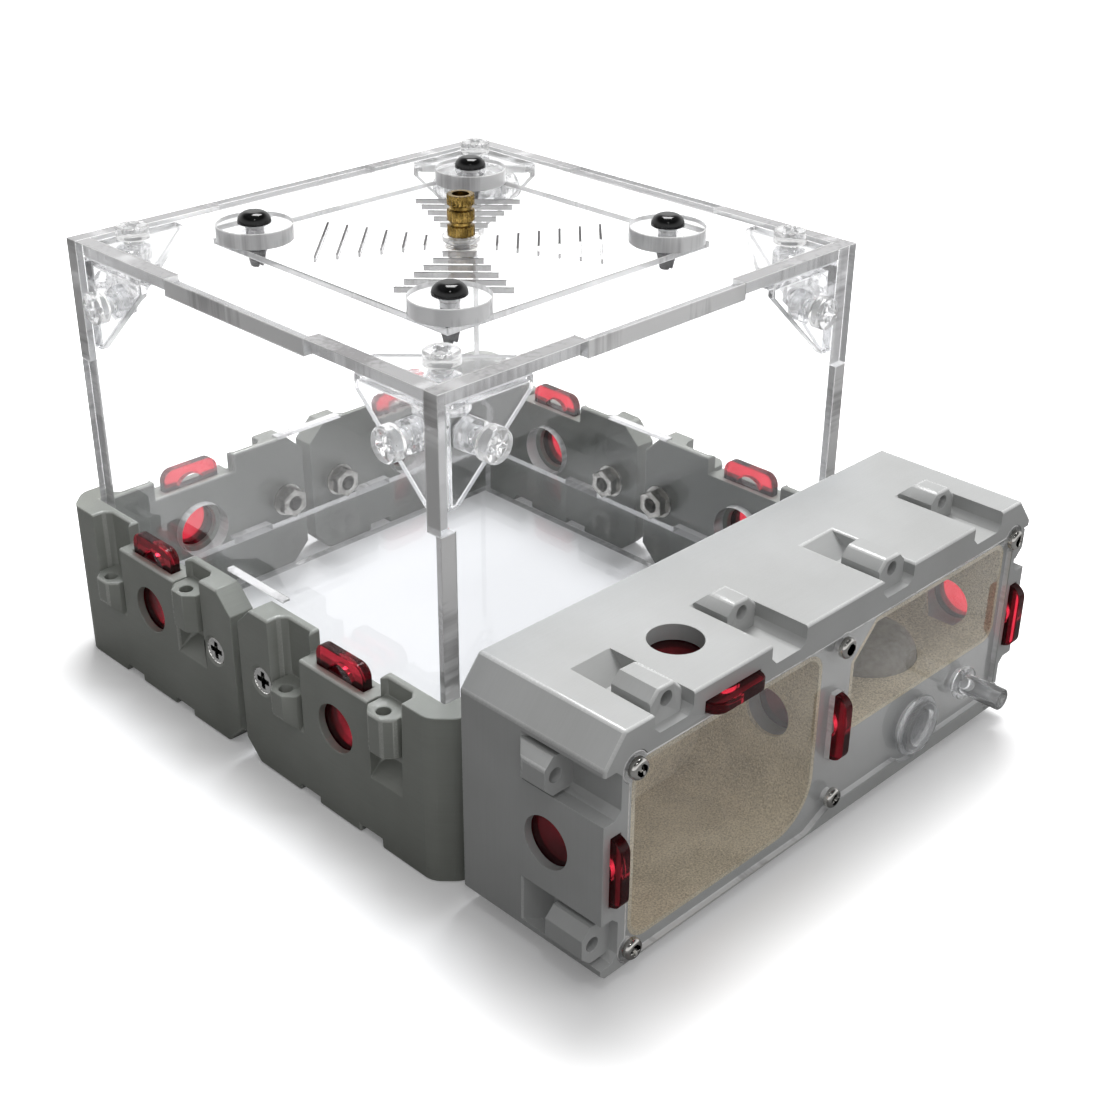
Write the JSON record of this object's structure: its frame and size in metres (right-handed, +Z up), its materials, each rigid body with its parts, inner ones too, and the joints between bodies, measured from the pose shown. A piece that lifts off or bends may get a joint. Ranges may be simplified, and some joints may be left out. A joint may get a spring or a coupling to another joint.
{
  "type": "ant habitat",
  "caption": "Clear square foraging box with a lift-off slotted lid, ringed by docking modules with red sliding gates, and a long two-chamber nest with a clear window and a water store.",
  "frame": {"origin": "middle of the footprint's bounding box, on the table", "axes": "+Z up; the nest's window faces -Y; the foraging box stands behind it toward +Y"},
  "size_m": [0.1144, 0.1546, 0.0925],
  "materials": {
    "acrylic": "clear polished cast sheet with bright edges",
    "bracket_clear": "clear moulded plastic",
    "clear_nylon": "translucent moulded fastener",
    "module_print": "dark grey printed plastic, fine layer lines",
    "nest_print": "light grey printed plastic, fine layer lines",
    "gate_red": "deep transparent red acrylic",
    "steel": "bright plated screw steel",
    "brass": "knurled brass",
    "black_nylon": "glossy black moulded plastic",
    "sand": "fine beige sand coating",
    "wick": "smooth porous grey cast",
    "silicone": "translucent silicone",
    "clear_tube": "clear flexible tube"
  },
  "bodies": {
    "box": {"wall_front": "acrylic", "wall_back": "acrylic", "wall_left": "acrylic", "wall_right": "acrylic", "floor_plate": "acrylic", "lid_frame": "acrylic", "bracket_front_left": "bracket_clear", "module_front_left": "module_print", "bracket_front_right": "bracket_clear", "module_front_right": "module_print", "bracket_back_right": "bracket_clear", "module_back_right": "module_print", "bracket_back_left": "bracket_clear", "module_back_left": "module_print", "bracket_screws": "clear_nylon", "bracket_nuts": "clear_nylon", "module_screws": "steel", "module_washers": "steel", "module_nuts": "steel"},
    "lid": {"lid_panel": "acrylic", "lid_disc_front_left": "acrylic", "lid_disc_front_right": "acrylic", "lid_disc_back_right": "acrylic", "lid_disc_back_left": "acrylic", "lid_rivets": "black_nylon", "lift_knob": "brass", "knob_washer": "clear_nylon", "knob_screw": "steel"},
    "nest": {"nest_housing": "nest_print", "nest_cover": "acrylic", "cover_screws": "steel", "liner_left": "sand", "liner_right": "sand", "water_wick": "wick", "water_tube": "clear_tube"},
    "plug": {"water_plug": "silicone", "plug_seal": "silicone"},
    "gate_front_left_body": {"gate_front_left": "gate_red"},
    "gate_front_right_body": {"gate_front_right": "gate_red"},
    "gate_right_front_body": {"gate_right_front": "gate_red"},
    "gate_right_back_body": {"gate_right_back": "gate_red"},
    "gate_back_right_body": {"gate_back_right": "gate_red"},
    "gate_back_left_body": {"gate_back_left": "gate_red"},
    "gate_left_back_body": {"gate_left_back": "gate_red"},
    "gate_left_front_body": {"gate_left_front": "gate_red"},
    "nest_gate_left_body": {"nest_gate_left": "gate_red"},
    "nest_gate_middle_body": {"nest_gate_middle": "gate_red"},
    "nest_gate_right_body": {"nest_gate_right": "gate_red"},
    "nest_gate_top_body": {"nest_gate_top": "gate_red"}
  },
  "joints": [
    {"name": "lid_lift", "type": "slide", "parent": "box", "child": "lid", "axis": [0, 0, 1], "range_m": [0, 0.04]},
    {"name": "gate_front_left_slide", "type": "slide", "parent": "box", "child": "gate_front_left_body", "axis": [0, 0, 1], "range_m": [0, 0.011]},
    {"name": "gate_front_right_slide", "type": "slide", "parent": "box", "child": "gate_front_right_body", "axis": [0, 0, 1], "range_m": [0, 0.011]},
    {"name": "gate_right_front_slide", "type": "slide", "parent": "box", "child": "gate_right_front_body", "axis": [0, 0, 1], "range_m": [0, 0.011]},
    {"name": "gate_right_back_slide", "type": "slide", "parent": "box", "child": "gate_right_back_body", "axis": [0, 0, 1], "range_m": [0, 0.011]},
    {"name": "gate_back_right_slide", "type": "slide", "parent": "box", "child": "gate_back_right_body", "axis": [0, 0, 1], "range_m": [0, 0.011]},
    {"name": "gate_back_left_slide", "type": "slide", "parent": "box", "child": "gate_back_left_body", "axis": [0, 0, 1], "range_m": [0, 0.011]},
    {"name": "gate_left_back_slide", "type": "slide", "parent": "box", "child": "gate_left_back_body", "axis": [0, 0, 1], "range_m": [0, 0.011]},
    {"name": "gate_left_front_slide", "type": "slide", "parent": "box", "child": "gate_left_front_body", "axis": [0, 0, 1], "range_m": [0, 0.011]},
    {"name": "nest_draw", "type": "slide", "parent": "box", "child": "nest", "axis": [0, -1, 0], "range_m": [0, 0.04]},
    {"name": "nest_gate_left_slide", "type": "slide", "parent": "nest", "child": "nest_gate_left_body", "axis": [0, -1, 0], "range_m": [0, 0.011]},
    {"name": "nest_gate_middle_slide", "type": "slide", "parent": "nest", "child": "nest_gate_middle_body", "axis": [0, -1, 0], "range_m": [0, 0.011]},
    {"name": "nest_gate_right_slide", "type": "slide", "parent": "nest", "child": "nest_gate_right_body", "axis": [0, -1, 0], "range_m": [0, 0.011]},
    {"name": "nest_gate_top_slide", "type": "slide", "parent": "nest", "child": "nest_gate_top_body", "axis": [0, -1, 0], "range_m": [0, 0.011]},
    {"name": "plug_pull", "type": "slide", "parent": "nest", "child": "plug", "axis": [0, -1, 0], "range_m": [0, 0.012]}
  ]
}
